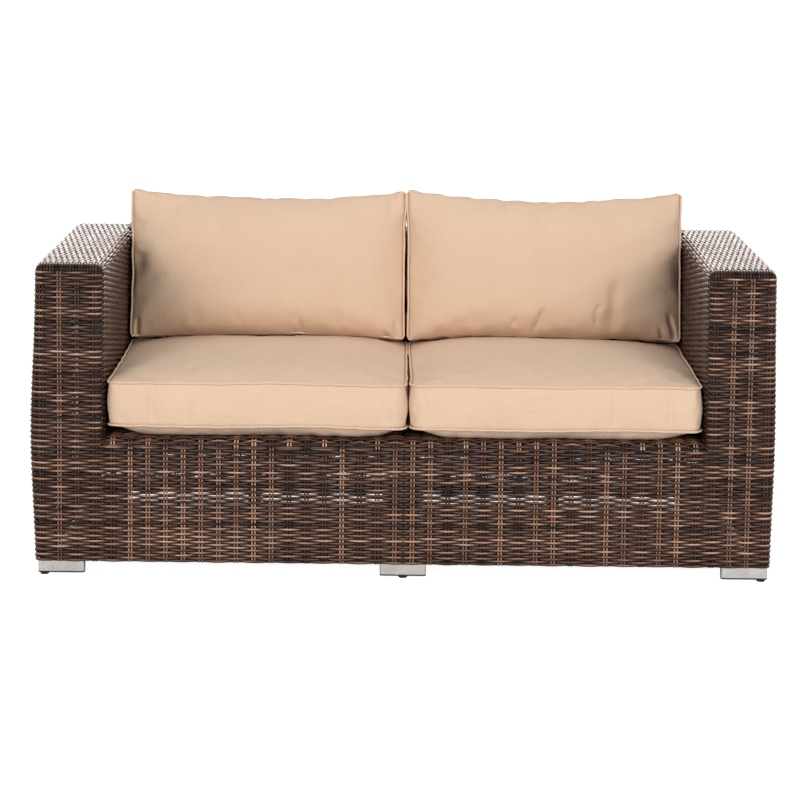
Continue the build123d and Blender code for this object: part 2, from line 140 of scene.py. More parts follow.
def makeFloor():
    bpy.ops.mesh.primitive_plane_add(size=studio["floorSize"])
    floor = bpy.context.object
    floor.name = "floor"
    grey = studio["floorColour"]
    material, tree, shader = newMaterial("floor", studio["floorRoughness"], (grey, grey, grey))
    shader.inputs["Specular IOR Level"].default_value = 0.0
    path = tree.nodes.new("ShaderNodeLightPath")
    spot = tree.nodes.new("ShaderNodeTexCoord")
    parts = tree.nodes.new("ShaderNodeSeparateXYZ")
    tree.links.new(spot.outputs["Object"], parts.inputs[0])
    # Painted shade: the glow is left out over a patch under the sofa, which keeps the real shadow there and
    # makes that patch darker than the open floor
    middleY = (studio["darkFront"] + studio["darkRear"]) / 2
    halfY = (studio["darkRear"] - studio["darkFront"]) / 2
    beyond = []
    for axis, centre, half in (("X", 0.0, studio["darkHalfX"]), ("Y", middleY, halfY)):
        away = mathNode(tree, "ABSOLUTE", mathNode(tree, "SUBTRACT", parts.outputs[axis], centre))
        past = mathNode(tree, "SUBTRACT", away, half)
        beyond.append(mathNode(tree, "DIVIDE", past, studio["darkFade"]))
    outside = mathNode(tree, "MAXIMUM", *beyond, clamp=True)
    lit = mathNode(tree, "MULTIPLY", outside, path.outputs["Is Camera Ray"])
    lift = mathNode(tree, "MULTIPLY", lit, studio["floorLift"])
    shader.inputs["Emission Color"].default_value = (1, 1, 1, 1)
    tree.links.new(lift, shader.inputs["Emission Strength"])
    floor.data.materials.append(material)


def makeWorld():
    # Soft even light; the camera sees white, and gloss sees a bright backdrop behind the sofa
    world = bpy.context.scene.world or bpy.data.worlds.new("studio")
    bpy.context.scene.world = world
    world.use_nodes = True
    tree = world.node_tree
    nodes, links = tree.nodes, tree.links
    background = nodes["Background"]
    background.inputs["Color"].default_value = (1, 1, 1, 1)
    path = nodes.new("ShaderNodeLightPath")
    way = nodes.new("ShaderNodeTexCoord")
    parts = nodes.new("ShaderNodeSeparateXYZ")
    links.new(way.outputs["Generated"], parts.inputs[0])
    mirrored = nodes.new("ShaderNodeMapRange")
    mirrored.interpolation_type = "SMOOTHSTEP"
    mirrored.inputs["To Min"].default_value = studio["frontMirrored"]
    mirrored.inputs["To Max"].default_value = studio["rearMirrored"]
    links.new(parts.outputs["Y"], mirrored.inputs["Value"])
    last = studio["worldGlow"]
    seen = {"Is Glossy Ray": mirrored.outputs["Result"], "Is Camera Ray": studio["whiteSeen"]}
    for output, value in seen.items():
        strength = nodes.new("ShaderNodeMix")
        feed(tree, last, strength.inputs["A"])
        feed(tree, value, strength.inputs["B"])
        links.new(path.outputs[output], strength.inputs["Factor"])
        last = strength.outputs["Result"]
    links.new(last, background.inputs["Strength"])


makeLamps()
makeFloor()
makeWorld()
bpy.context.scene.view_settings.view_transform = "Standard"
print("stage ready")

# Woven cane: oval strands over and under pairs of stakes
cane = {
    "halfWidth": 0.00276,
    "halfThickness": 0.00175,
    "flats": 6,  # round a strand
    "stakeHalfWidth": 0.0022,
    "stakeHalfThickness": 0.0019,
    "stakeProud": 0.0006,  # stakes stand this far outside the weave's middle
    "stakeLevels": 9,
    "sideMargin": 0.004,  # stakes this far past a side's run still belong to it
    "rearMargin": 0.010,
    "pairGap": 0.0031,  # from the middle of a pair to each stake
    "wave": 0.0033,  # how far a strand swings in and out
    "depth": 0.0052,  # the weave's middle, inside the outer faces
    "edgeRadius": 0.020,
    "overlap": 0.012,  # how far one face's weave runs into the next
    "backTopFront": 0.268,
    "rowCount": 107,
    "footGap": 0.0004,  # from a board's lower edge to its lowest strand
    "overRows": 5,  # rows on the skirt's rounded top edge
    "overStart": 0.3,  # in row pitches, as the next two
    "deckEnd": 0.8,
    "deckPitch": 1.15,
    "topRows": 26,
    "stepsPerStake": 5,
    "innerSteps": 4,
    "plainSteps": 3,
    "arcSteps": 4,
    "closest": 0.0012,  # the least step between samples of a strand
    "loopStakes": 124,
    "wander": 0.00035,
    "wanderAlong": 2.3,
    "wanderRow": 1.7,
    "lengthFade": 0.010,
    "sideBulge": {"left": 0.012, "right": 0.006},  # how far the outer sides stand out at their middle
    "bulgeHeight": 0.30,
    "bulgeReach": 0.21,
    # share of tone kept on the arms' inner faces, a painted shade
    "innerPaintedShade": 0.5,
    "frontLift": 0.42,  # the upper arm fronts are lighter
    "liftFrom": 0.40,
    "liftSpan": 0.16,
    "seed": 11,
}
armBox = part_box("wicker_right_arm_top")
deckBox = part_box("wicker_seat_deck")
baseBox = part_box("wicker_back_outer")
depth = cane["depth"]
wallX = armBox[1][0] - depth
wallY = armBox[1][1] - depth
innerX = armBox[0][0] + depth
topZ = armBox[1][2] - depth
deckZ = deckBox[1][2] - depth
deckBackY = deckBox[1][1]
bend = cane["edgeRadius"] - depth
lowestRow = baseBox[0][2] + cane["halfWidth"] + cane["footGap"]
arcZ = topZ - bend  # where the rounded top edges begin
rowCount = cane["rowCount"]
rowPitch = (arcZ - lowestRow - cane["halfWidth"]) / (rowCount - 1)
rowHeights = lowestRow + rowPitch * np.arange(rowCount)
chance = np.random.default_rng(cane["seed"])
overlap = cane["overlap"]
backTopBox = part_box("wicker_back_top")


def roundedPath(points, radius):
    # Straight runs joined by arcs: start, heading, length and curvature of each
    runs = []
    places = [np.array(p, float) for p in points]
    cut = 0.0
    for i in range(len(places) - 1):
        here, there = places[i], places[i + 1]
        gap = there - here
        heading = gap / np.linalg.norm(gap)
        start = here + heading * cut
        if i < len(places) - 2:
            onward = places[i + 2] - there
            onward = onward / np.linalg.norm(onward)
            turn = np.arctan2(
                heading[0] * onward[1] - heading[1] * onward[0], float(heading @ onward)
            )
            cut = radius * tan(abs(turn) / 2)
            end = there - heading * cut
            runs.append((start, heading, np.linalg.norm(end - start), 0.0))
            runs.append((end, heading, radius * abs(turn), np.sign(turn) / radius))
        else:
            runs.append((start, heading, np.linalg.norm(there - start), 0.0))
    return runs


def pathStarts(runs):
    return np.concatenate([[0.0], np.cumsum([run[2] for run in runs])])


def alongPath(runs, distance):
    # Places and outward normals at distances along a path
    distance = np.asarray(distance, float)
    starts = pathStarts(runs)
    index = np.clip(np.searchsorted(starts, distance, "right") - 1, 0, len(runs) - 1)
    begin = np.array([run[0] for run in runs])[index]
    heading = np.array([run[1] for run in runs])[index]
    curve = np.array([run[3] for run in runs])[index]
    step = distance - starts[index]
    left = np.stack([-heading[..., 1], heading[..., 0]], -1)
    safe = np.where(curve == 0, 1.0, curve)
    ahead = np.where(curve == 0, step, np.sin(safe * step) / safe)
    aside = np.where(curve == 0, 0.0, (1 - np.cos(safe * step)) / safe)
    place = begin + heading * ahead[..., None] + left * aside[..., None]
    angle = curve * step
    tangent = heading * np.cos(angle)[..., None] + left * np.sin(angle)[..., None]
    normal = np.stack([tangent[..., 1], -tangent[..., 0]], -1)
    return place, normal


def arcSamples(runs, low, high):
    # Extra samples so that the strands follow the corners
    found = []
    count = cane["arcSteps"]
    for start, run in zip(pathStarts(runs), runs):
        if run[3] != 0:
            found += [start + run[2] * k / count for k in range(count + 1)]
    return [d for d in found if low < d < high]


def samplesBetween(runs, stakes, low, high, steps):
    index = np.arange(len(stakes) * 1.0)
    fine = np.interp(np.arange(0, len(stakes) - 1 + 0.5 / steps, 1 / steps), index, stakes)
    keep = [d for d in fine if low < d < high]
    keep = sorted(keep + arcSamples(runs, low, high))
    out = [low]
    for d in keep:
        if min(d - out[-1], high - d) > cane["closest"]:
            out.append(d)
    return np.array(out + [high])


def strandRings(centre, normal, halfWidth, halfThickness):
    # Corners round every sample of every strand
    tangent = np.gradient(centre, axis=1)
    tangent /= np.linalg.norm(tangent, axis=2, keepdims=True)
    side = np.cross(tangent, normal)
    side /= np.linalg.norm(side, axis=2, keepdims=True)
    proud = np.cross(side, tangent)
    angles = np.arange(cane["flats"]) * 2 * pi / cane["flats"]
    rings = centre[:, :, None, :]
    rings = rings + side[:, :, None, :] * (halfWidth * np.cos(angles))[None, None, :, None]
    rings = rings + proud[:, :, None, :] * (halfThickness * np.sin(angles))[None, None, :, None]
    return rings


def paintedStrandShade(rings, centre, normal):
    # Painted shade and light: the backs and undersides of the strands are darkened and their fronts and tops
    # lightened, in place of light falling from the front and above
    offset = rings - centre[:, :, None, :]
    offset = offset / np.linalg.norm(offset, axis=3, keepdims=True)
    out = (offset * normal[:, :, None, :]).sum(-1)
    shade = shades["ring"] + shades["outward"] * out + shades["upward"] * offset[..., 2]
    return np.clip(shade, shades["least"], 1.0)


def weaveObject(name, bundles, material, nodes):
    # One closed mesh of many strands. A bundle has centres, normals, half width, half thickness, tones
    verts, quads, caps, tones = [], [], [], []
    base = 0
    flats = cane["flats"]
    for centre, normal, halfWidth, halfThickness, tone in bundles:
        count, length = centre.shape[:2]
        rings = strandRings(centre, normal, halfWidth, halfThickness)
        verts.append(rings.reshape(-1, 3))
        tone = np.broadcast_to(np.asarray(tone), (count, length))
        # Each strand's tone is multiplied by the painted shade round it
        tones.append((tone[:, :, None] * paintedStrandShade(rings, centre, normal)).reshape(-1))
        grid = base + np.arange(count * length * flats).reshape(count, length, flats)
        near, far = grid[:, :-1], grid[:, 1:]
        around = np.roll(grid, -1, axis=2)
        quad = np.stack([near, far, around[:, 1:], around[:, :-1]], -1)
        quads.append(quad.reshape(-1, 4))
        caps.append(grid[:, 0, :])
        caps.append(grid[:, -1, ::-1])
        base += count * length * flats
    verts = np.concatenate(verts)
    quads = np.concatenate(quads)
    caps = np.concatenate(caps)
    mesh = bpy.data.meshes.new(name)
    mesh.vertices.add(len(verts))
    mesh.vertices.foreach_set("co", verts.astype(np.float32).ravel())
    corners = np.concatenate([quads.ravel(), caps.ravel()]).astype(np.int32)
    starts = np.concatenate(
        [np.arange(len(quads)) * 4, len(quads) * 4 + np.arange(len(caps)) * flats]
    ).astype(np.int32)
    mesh.loops.add(len(corners))
    mesh.loops.foreach_set("vertex_index", corners)
    mesh.polygons.add(len(starts))
    mesh.polygons.foreach_set("loop_start", starts)
    mesh.polygons.foreach_set("use_smooth", np.ones(len(starts), bool))
    mesh.update(calc_edges=True)
    layer = mesh.attributes.new("tone", "FLOAT", "POINT")
    layer.data.foreach_set("value", np.concatenate(tones).astype(np.float32))
    mesh.materials.append(material)
    piece = bpy.data.objects.new(name, mesh)
    bpy.context.collection.objects.link(piece)
    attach(piece, "sofa")
    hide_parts(*nodes)
    return piece


# Mixed browns: every row has its own shade, which drifts along its length
shades = {
    "knots": 41,
    "span": 4.8,
    "rows": 400,
    "groupRows": 7,
    "darkRows": 0.33,  # share of the rows that are dark
    "darkScale": 0.25,
    "lightFrom": 0.45,
    "lightSpan": 0.5,
    "byRow": 0.62,
    "byGroup": 0.30,
    "byDrift": 0.55,
    "base": 0.16,
    "overRow": 150,  # rows over the tops and the deck have the shades from here on
    "armTopRow": 260,
    # Painted light on the crests and painted shade in the dips behind the stakes
    "crestBase": 0.70,
    "crestGain": 0.50,
    "crestMost": 0.7,
    "crestLift": 0.08,
    "darkStakes": 0.4,
    "stakeDark": (0.15, 0.2),  # least shade and span
    "stakeLight": (0.72, 0.28),
    "turnedDown": (0.12, 0.22),
    # Painted shade round each strand: base share, gain facing out, gain facing up, and least share
    "ring": 0.30,
    "outward": 0.60,
    "upward": 0.48,
    "least": 0.06,
}
shadeRows = np.arange(shades["rows"])
groupKnots = shadeRows[::shades["groupRows"]]
rowShade = chance.random(shades["rows"])
rowShade = np.where(
    chance.random(shades["rows"]) < shades["darkRows"],
    rowShade * shades["darkScale"],
    shades["lightFrom"] + rowShade * shades["lightSpan"],
)
groupShade = np.interp(shadeRows, groupKnots, chance.random(len(groupKnots)))
drift = chance.random((shades["rows"], shades["knots"]))


def rowTone(rows, distance):
    # Shade of given rows at distances along them, from 0, dark, to 1, light
    rows = np.asarray(rows, int)[:, None]
    last = shades["knots"] - 1
    knot = (np.asarray(distance)[None, :] / shades["span"] + 0.5) * last
    knot = np.clip(knot, 0, last - 0.001)
    low = knot.astype(int)
    part = knot - low
    part = part * part * (3 - 2 * part)
    flow = drift[rows, low] * (1 - part) + drift[rows, low + 1] * part
    tone = shades["base"] + rowShade[rows] * shades["byRow"]
    tone = tone + (groupShade[rows] - 0.5) * shades["byGroup"] + (flow - 0.5) * shades["byDrift"]
    return np.clip(tone, 0, 1)


def crestPaintedLight(tone, swing):
    # Painted light and shade: a strand is lighter where it comes out over a pair of stakes and darker where
    # it dips behind them
    crest = swing / cane["wave"]
    patchesAndPaintedLight = shades["crestBase"] + shades["crestGain"] * np.clip(crest, -1, shades["crestMost"])
    return np.clip(tone * patchesAndPaintedLight + shades["crestLift"] * crest, 0, 1)


def drawn(limits, shape):
    return limits[0] + limits[1] * chance.random(shape)


def stakeTone(count):
    # A pair of stakes is light or dark, and its two strands are alike
    dark = chance.random(count) < shades["darkStakes"]
    tone = np.where(dark, drawn(shades["stakeDark"], count), drawn(shades["stakeLight"], count))
    return np.repeat(tone, 2)


def mirrored(bundles):
    flip = np.array([-1.0, 1.0, 1.0])
    return [(c * flip, n * flip, w, t, tone) for c, n, w, t, tone in bundles]


# The plan of the lower rows, from the middle of the front round to the right and back again
loopPath = roundedPath(
    [(0, -wallY), (wallX, -wallY), (wallX, wallY), (-wallX, wallY), (-wallX, -wallY), (0, -wallY)],
    bend,
)
loopLength = pathStarts(loopPath)[-1]
stakePitch = loopLength / cane["loopStakes"]
loopFirst = -1  # number of the first of these stakes
loopStakes = stakePitch * (np.arange(loopFirst, cane["loopStakes"] + 1) + 0.5)
frontEnd = wallX - bend  # distance at which the front's outer corner starts
quarter = bend * pi / 2
sideStart = frontEnd + quarter
sideRun = 2 * (wallY - bend)
rearStart = sideStart + sideRun + quarter
rearRun = 2 * (wallX - bend)
armInside = innerX + bend


def stakesBetween(low, high, margin=0.0):
    return loopStakes[(loopStakes > low - margin) & (loopStakes < high + margin)]


# Stakes of the side, as distances behind the middle of the depth
sideStakes = stakesBetween(sideStart, sideStart + sideRun, cane["sideMargin"])
sideFirst = int(round(sideStakes[0] / stakePitch - 0.5))
sideStakeY = sideStakes - sideStart - (wallY - bend)
frontStakes = stakesBetween(0, frontEnd + overlap)
frontNumbers = np.round(frontStakes / stakePitch - 0.5).astype(int)

# The arm's inner path: along its inner face from the back, round the corner and on to the front
armBack = backTopBox[0][1] + overlap
innerPath = roundedPath([(innerX, armBack), (innerX, -wallY), (wallX - bend, -wallY)], bend)
innerRun = innerPath[0][2]
innerCorner = innerRun + quarter
innerStakes = [armBack - y for y in sideStakeY[::-1] if y < armBack]
innerStakes += [innerCorner + s - armInside for s in frontStakes if s > armInside - overlap]
innerStakes = np.array(sorted(innerStakes))
innerFirst = int(frontNumbers[-1]) - len(innerStakes) + 1

# A wall is a path, its stakes and the number of the first stake
outerWall = (loopPath, loopStakes, loopFirst)
innerWall = (innerPath, innerStakes, innerFirst)


def phaseOf(stakes, first, distance):
    # Counts stakes along a path, running on evenly past both ends
    index = first + np.arange(len(stakes))
    phase = np.interp(distance, stakes, index)
    phase = np.where(distance < stakes[0], index[0] + (distance - stakes[0]) / stakePitch, phase)
    return np.where(distance > stakes[-1], index[-1] + (distance - stakes[-1]) / stakePitch, phase)


def wallRows(wall, low, high, rows, steps, toneShift, toneWay):
    # Rows of cane round a wall, from one distance to another
    runs, stakes, first = wall
    distance = samplesBetween(runs, stakes, low, high, steps)
    place, normal = alongPath(runs, distance)
    phase = phaseOf(stakes, first, distance)
    swing = cane["wave"] * np.cos(pi * (phase[None, :] + rows[:, None]))
    level = rowHeights[rows][:, None] + cane["wander"] * np.sin(
        cane["wanderAlong"] * phase[None, :] + cane["wanderRow"] * rows[:, None] * rows[:, None]
    )
    flat = place[None] + normal[None] * swing[..., None]
    centre = np.concatenate([flat, level[..., None]], -1)
    out = np.concatenate([normal, np.zeros((len(normal), 1))], -1)
    out = np.broadcast_to(out[None], centre.shape)
    tone = crestPaintedLight(rowTone(rows, toneWay * (distance + toneShift)), swing)
    return (centre, out, cane["halfWidth"], cane["halfThickness"], tone)


def bulged(bundle, reach):
    # The outer sides swell outwards at mid height
    centre = bundle[0].copy()
    share = np.exp(-(((centre[..., 2] - cane["bulgeHeight"]) / cane["bulgeReach"]) ** 2))
    side = np.clip(bundle[1][..., 0], -1, 1)
    centre[..., 0] += reach * share * side * np.abs(side)
    return (centre, *bundle[1:])


def paintedInnerShade(bundle):
    # Painted shade: the cane of the arms' inner faces is darkened, as these faces lie in shadow
    return (*bundle[:4], bundle[4] * cane["innerPaintedShade"])


def lighterUpward(bundle):
    # Cane high on the arms' fronts is lighter towards the top
    rise = np.clip((bundle[0][..., 2] - cane["liftFrom"]) / cane["liftSpan"], 0, 1)
    return (*bundle[:4], np.clip(bundle[4] * (1 + cane["frontLift"] * rise), 0, 1))


def pairOffsets(count):
    return np.tile([-cane["pairGap"], cane["pairGap"]], count)


def wallStakes(runs, stakes, low, high):
    # Straight upright pairs at a wall's stake places
    spots = np.repeat(stakes, 2) + pairOffsets(len(stakes))
    place, normal = alongPath(runs, spots)
    levels = np.linspace(low, high, cane["stakeLevels"])
    centre = np.empty((len(spots), len(levels), 3))
    place = place + normal * cane["stakeProud"]
    centre[:, :, :2] = place[:, None, :]
    centre[:, :, 2] = levels[None, :]
    out = np.zeros_like(centre)
    out[:, :, :2] = normal[:, None, :]
    return (centre, out, cane["stakeHalfWidth"], cane["stakeHalfThickness"],
            stakeTone(len(stakes))[:, None])


def hoops(runs, spots, axis, low, high):
    # Pairs of stakes bent over a top: the path lies across the given axis
    across = np.repeat(spots, 2) + pairOffsets(len(spots))
    distance = np.array(sorted([low, high] + arcSamples(runs, low, high)))
    place, normal = alongPath(runs, distance)
    place = place + normal * cane["stakeProud"]
    centre = np.empty((len(across), len(distance), 3))
    out = np.zeros_like(centre)
    other = 1 - axis
    centre[:, :, axis] = across[:, None]
    centre[:, :, other] = place[None, :, 0]
    centre[:, :, 2] = place[None, :, 1]
    out[:, :, other] = normal[None, :, 0]
    out[:, :, 2] = normal[None, :, 1]
    return (centre, out, cane["stakeHalfWidth"], cane["stakeHalfThickness"],
            stakeTone(len(spots))[:, None])


def profileRows(runs, spots, stakes, first, reach, rows, steps):
    # Straight rows laid from side to side over a profile, at given distances round it
    stretch = roundedPath([(-reach, 0), (reach, 0)], bend)
    along = samplesBetween(stretch, np.array(stakes) + reach, 0, 2 * reach, steps) - reach
    place, normal = alongPath(runs, spots)
    phase = phaseOf(np.array(stakes), first, along)
    swing = cane["wave"] * np.cos(pi * (phase[None, :] + rows[:, None]))
    centre = np.empty((len(spots), len(along), 3))
    out = np.zeros_like(centre)
    centre[:, :, 0] = along[None, :]
    centre[:, :, 1:] = place[:, None, :] + normal[:, None, :] * swing[..., None]
    out[:, :, 1:] = normal[:, None, :]
    tone = crestPaintedLight(rowTone(rows + shades["overRow"], along), swing)
    return (centre, out, cane["halfWidth"], cane["halfThickness"], tone)


def armTopRows(runs, spots, rows):
    # Rows along the arm, turned down over its rounded front and rear edges
    place, normal = alongPath(runs, spots)
    reach = wallY - bend
    flatY = np.append(np.arange(-reach, reach, stakePitch / cane["stepsPerStake"]), reach)
    phase = phaseOf(sideStakeY, sideFirst, flatY)
    fade = np.clip((reach - np.abs(flatY)) / cane["lengthFade"], 0, 1)
    swing = cane["wave"] * fade[None, :] * np.cos(pi * (phase[None, :] + rows[:, None]))
    n = cane["arcSteps"]
    over = np.arange(1, n + 1) * pi / (2 * n)
    rise = place[:, 1] - arcZ
    count, length = len(spots), len(flatY)
    centre = np.empty((count, length + 2 * n, 3))
    out = np.zeros_like(centre)
    centre[:, :, 0] = place[:, None, 0]
    out[:, :, 0] = normal[:, None, 0]
    centre[:, n:-n, 0] += normal[:, None, 0] * swing
    centre[:, n:-n, 1] = flatY[None, :]
    centre[:, n:-n, 2] = place[:, None, 1] + normal[:, None, 1] * swing
    out[:, n:-n, 2] = normal[:, None, 1]
    for k, angle in enumerate(over):
        for column, way in ((n - 1 - k, -1), (n + length + k, 1)):
            centre[:, column, 1] = way * (reach + rise * sin(angle))
            centre[:, column, 2] = arcZ + rise * cos(angle)
            out[:, column, 1] = way * normal[:, 1] * sin(angle)
            out[:, column, 2] = normal[:, 1] * cos(angle)
    tone = rowTone(rows + shades["armTopRow"], np.pad(flatY, n, mode="edge"))
    turned = drawn(shades["turnedDown"], (count, 1))
    tone[:, :n] *= turned
    tone[:, -n:] *= turned
    return (centre, out, cane["halfWidth"], cane["halfThickness"], tone)


# A shader group that several finishes share
def newGroup(name, inputs, outputs):
    group = bpy.data.node_groups.new(name, "ShaderNodeTree")
    for label, kind, value in inputs:
        socket = group.interface.new_socket(label, in_out="INPUT", socket_type=kind)
        socket.default_value = value
    for label, kind in outputs:
        group.interface.new_socket(label, in_out="OUTPUT", socket_type=kind)
    start = group.nodes.new("NodeGroupInput")
    end = group.nodes.new("NodeGroupOutput")
    return group, start, end


def makeStreaks():
    # Fine grain at one size and slow patches at another, both from 0 to 1
    group, start, end = newGroup(
        "streaks",
        [("Fine", "NodeSocketFloat", 1.0), ("Broad", "NodeSocketFloat", 1.0)],
        [("Grain", "NodeSocketFloat"), ("Patches", "NodeSocketFloat")],
    )
    spot = group.nodes.new("ShaderNodeTexCoord")
    for name, output in (("Fine", "Grain"), ("Broad", "Patches")):
        texture = group.nodes.new("ShaderNodeTexNoise")
        texture.inputs["Detail"].default_value = 3  # octaves
        group.links.new(spot.outputs["Object"], texture.inputs["Vector"])
        group.links.new(start.outputs[name], texture.inputs["Scale"])
        group.links.new(texture.outputs["Fac"], end.inputs[output])
    return group


streaks = makeStreaks()


def grainOf(tree, fine, broad):
    grain = tree.nodes.new("ShaderNodeGroup")
    grain.node_tree = streaks
    grain.inputs["Fine"].default_value = fine
    grain.inputs["Broad"].default_value = broad
    return grain.outputs["Grain"], grain.outputs["Patches"]


def unevenGloss(tree, shader, patches, roughness, spread):
    rough = mathNode(tree, "MULTIPLY_ADD", patches, spread, roughness - spread / 2)
    tree.links.new(rough, shader.inputs["Roughness"])


def colourRamp(tree, value, stops):
    ramp = tree.nodes.new("ShaderNodeValToRGB")
    elements = ramp.color_ramp.elements
    for k, (place, colour) in enumerate(stops):
        element = elements[k] if k < len(elements) and k < 2 else elements.new(place)
        element.position = place
        element.color = (*colour, 1)
    tree.links.new(value, ramp.inputs["Fac"])
    return ramp.outputs["Color"]


def addBump(tree, shader, height, strength, distance):
    bump = tree.nodes.new("ShaderNodeBump")
    bump.inputs["Strength"].default_value = strength
    bump.inputs["Distance"].default_value = distance
    tree.links.new(height, bump.inputs["Height"])
    tree.links.new(bump.outputs["Normal"], shader.inputs["Normal"])


caneFinish = {
    "dark": (0.012, 0.007, 0.006),
    "brown": (0.155, 0.074, 0.045),
    "light": (0.720, 0.440, 0.300),
    "roughness": 0.25,
    "gloss": 0.28,
    "grain": 420.0,
    "patches": 60.0,
    "fleck": 0.34,  # the grain's share of the shade
    "glossSpread": 0.16,
    "relief": 0.25,
    "reliefDepth": 0.0004,
}


def makeCaneMaterial():
    material, tree, shader = newMaterial("wovenCane", caneFinish["roughness"])
    tone = tree.nodes.new("ShaderNodeAttribute")
    tone.attribute_name = "tone"
    grain, patches = grainOf(tree, caneFinish["grain"], caneFinish["patches"])
    fleck = mathNode(tree, "MULTIPLY_ADD", grain, caneFinish["fleck"], -caneFinish["fleck"] / 2)
    mixed = mathNode(tree, "ADD", tone.outputs["Fac"], fleck, clamp=True)
    stops = [(0.0, caneFinish["dark"]), (0.5, caneFinish["brown"]), (1.0, caneFinish["light"])]
    tree.links.new(colourRamp(tree, mixed, stops), shader.inputs["Base Color"])
    unevenGloss(tree, shader, patches, caneFinish["roughness"], caneFinish["glossSpread"])
    shader.inputs["Specular IOR Level"].default_value = caneFinish["gloss"]
    addBump(tree, shader, grain, caneFinish["relief"], caneFinish["reliefDepth"])
    return material


caneMaterial = makeCaneMaterial()


allRows = np.arange(rowCount)
lowRows = allRows[rowHeights < deckBox[1][2] - cane["edgeRadius"]]
highRows = allRows[len(lowRows):]
steps = cane["stepsPerStake"]
base = lowestRow - cane["halfWidth"]


def makeFront():
    # Skirt and the rows that turn over its top edge
    bundles = []
    for way in (1, -1):
        part = [
            wallRows(outerWall, 0.0, innerX - depth, lowRows, steps, 0.0, way),
            wallStakes(loopPath, frontStakes[frontStakes < innerX - depth], base, deckZ - bend),
        ]
        bundles += part if way == 1 else mirrored(part)
    edge = roundedPath([(deckBackY, deckZ), (-wallY, deckZ), (-wallY, base)], bend)
    edgeStart = edge[0][2]
    over = np.arange(cane["overRows"])
    overSpots = edgeStart + quarter - rowPitch * (over + cane["overStart"])
    frontX = np.concatenate([-frontStakes[::-1], frontStakes])
    across = frontX[np.abs(frontX) < innerX]
    firstAcross = int(frontNumbers[0]) - np.sum(across < 0)
    bundles.append(profileRows(edge, overSpots, across, firstAcross, innerX, len(lowRows) + over, steps))
    bundles.append(hoops(edge, across, 0, edgeStart - overlap, edgeStart + quarter))
    weaveObject("skirtWeave", bundles, caneMaterial, ["wicker_front_skirt"])

    # Seat deck
    deckEnd = overSpots[-1] - rowPitch * cane["deckEnd"]
    deckSpots = np.arange(rowPitch, deckEnd, rowPitch * cane["deckPitch"])
    deckRows = np.arange(len(deckSpots))
    weaveObject("deckWeave", [
        profileRows(edge, deckSpots, across, firstAcross, innerX, deckRows, cane["plainSteps"]),
        hoops(edge, across, 0, 0.0, edgeStart - overlap),
    ], caneMaterial, ["wicker_seat_deck"])


def makeArm(side, sign):
    bulge = cane["sideBulge"][side]
    cornerMiddle = frontEnd + quarter / 2
    innerMiddle = innerRun + quarter / 2
    profile = roundedPath([(wallX, base), (wallX, topZ), (innerX, topZ), (innerX, deckZ)], bend)
    arcStart = profile[0][2]
    arcEnd = arcStart + 2 * quarter + profile[2][2]
    innerShift = armInside - innerCorner
    frontOfBack = sideStakeY[sideStakeY < armBack]

    def lay(bundles, name, nodes):
        shaped = bundles if sign > 0 else mirrored(bundles)
        weaveObject(f"{name}_{side}", shaped, caneMaterial, nodes)

    lay([
        bulged(wallRows(outerWall, innerX - depth, cornerMiddle, lowRows, steps, 0.0, sign), bulge),
        wallRows(innerWall, innerMiddle, innerCorner + innerPath[2][2], highRows, steps, innerShift, sign),
        lighterUpward(bulged(wallRows(outerWall, frontEnd, cornerMiddle, highRows, steps, 0.0, sign), bulge)),
        wallStakes(loopPath, frontStakes[frontStakes > innerX], base, arcZ),
    ], "armFrontWeave", [f"wicker_{side}_arm_front"])
    lay([
        bulged(wallRows(outerWall, cornerMiddle, rearStart - quarter / 2, allRows, steps, 0.0, sign), bulge),
        bulged(wallStakes(loopPath, sideStakes, base, arcZ), bulge),
    ], "armOuterWeave", [f"wicker_{side}_arm_outer"])
    lay([
        # The inner face's rows and hoops carry painted shade
        paintedInnerShade(wallRows(innerWall, 0.0, innerMiddle, highRows, steps, innerShift, sign)),
        paintedInnerShade(hoops(profile, frontOfBack, 1, arcEnd, profile[-1][2] + arcEnd)),
    ], "armInnerWeave", [f"wicker_{side}_arm_inner"])
    topRows = np.arange(cane["topRows"])
    spots = arcStart + (arcEnd - arcStart) * (topRows + 0.5) / cane["topRows"]
    lay([
        armTopRows(profile, spots, topRows),
        hoops(profile, frontOfBack, 1, arcStart, arcEnd),
        hoops(profile, sideStakeY[sideStakeY >= armBack], 1, arcStart, arcEnd - quarter),
    ], "armTopWeave", [f"wicker_{side}_arm_top"])


def makeBack():
    rearStakes = stakesBetween(rearStart, rearStart + rearRun, cane["rearMargin"])
    rearX = (wallX - bend) - (rearStakes - rearStart)
    weaveObject("backOuterWeave", [
        wallRows(outerWall, rearStart - quarter / 2, rearStart + rearRun + quarter / 2, allRows,
                 cane["plainSteps"], -rearStart - rearRun / 2, 1),
        wallStakes(loopPath, rearStakes, base, arcZ),
    ], caneMaterial, ["wicker_back_outer"])
    top = (cane["backTopFront"] + depth, topZ)
    foot = (deckBackY + depth, deckZ)
    profile = roundedPath([(wallY, base), (wallY, topZ), top, foot], bend)
    starts = pathStarts(profile)
    topSpots = np.arange(starts[1] + rowPitch / 2, starts[4], rowPitch)
    topRows = np.arange(len(topSpots))
    stakeX = np.sort(rearX[np.abs(rearX) < armInside])
    weaveObject("backTopWeave", [
        profileRows(profile, topSpots, stakeX, 0, armInside, topRows, steps),
        hoops(profile, stakeX, 0, starts[1], starts[4]),
    ], caneMaterial, ["wicker_back_top"])
    innerSpots = np.arange(topSpots[-1] + rowPitch, starts[5], rowPitch)
    innerRows = len(topSpots) + np.arange(len(innerSpots))
    weaveObject("backInnerWeave", [
        profileRows(profile, innerSpots, stakeX, 0, innerX, innerRows, cane["innerSteps"]),
        hoops(profile, stakeX[np.abs(stakeX) < innerX], 0, starts[4], starts[5]),
    ], caneMaterial, ["wicker_back_inner"])


makeFront()
for side, sign in sides.items():
    makeArm(side, sign)
makeBack()
print("weave ready")

